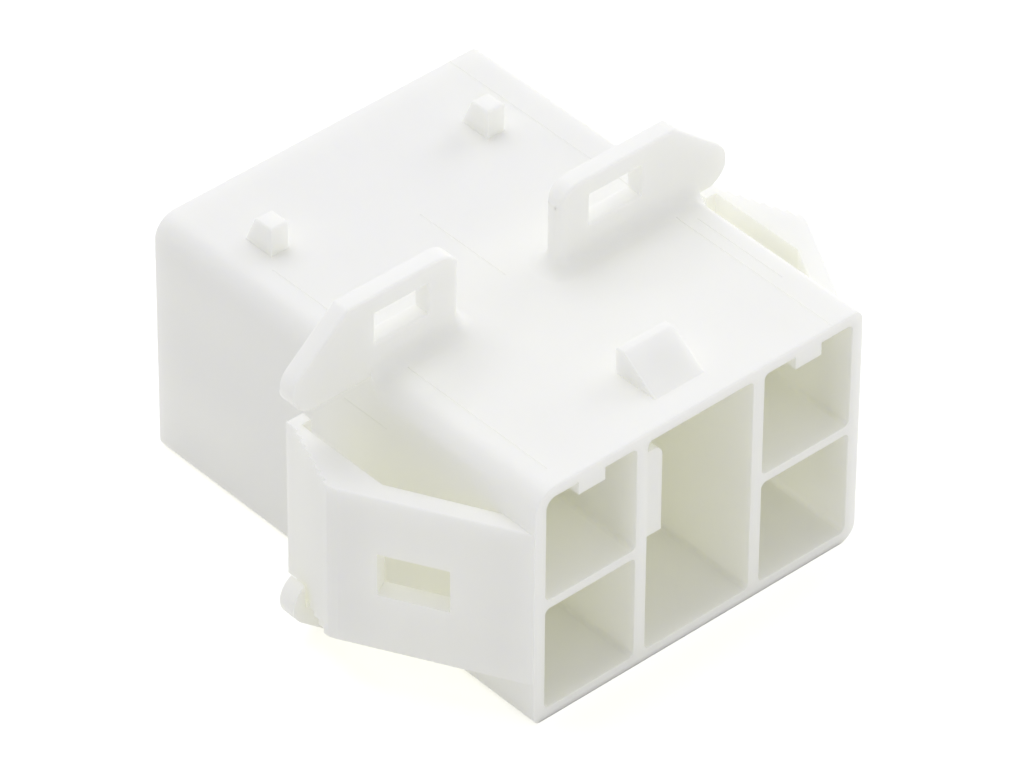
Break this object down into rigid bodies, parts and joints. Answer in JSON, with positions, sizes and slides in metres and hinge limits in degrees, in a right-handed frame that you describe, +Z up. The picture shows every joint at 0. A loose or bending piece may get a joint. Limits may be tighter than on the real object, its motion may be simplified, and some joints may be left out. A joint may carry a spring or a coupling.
{
  "type": "wire to board connector housing",
  "caption": "Panel-mount connector housing with keyed rectangular mating cavities, sprung stepped side latches, looped ears and a locking ramp on top.",
  "frame": {"origin": "on the resting plane, midway across the overall width and depth", "axes": "+X across the width to the right when facing the mating face, -Y out of the mating face, +Z up"},
  "size_m": [0.0297, 0.0266, 0.0184],
  "materials": {
    "nylon": "satin, slightly translucent natural nylon"
  },
  "bodies": {
    "root": {"housing": "nylon"}
  },
  "joints": []
}
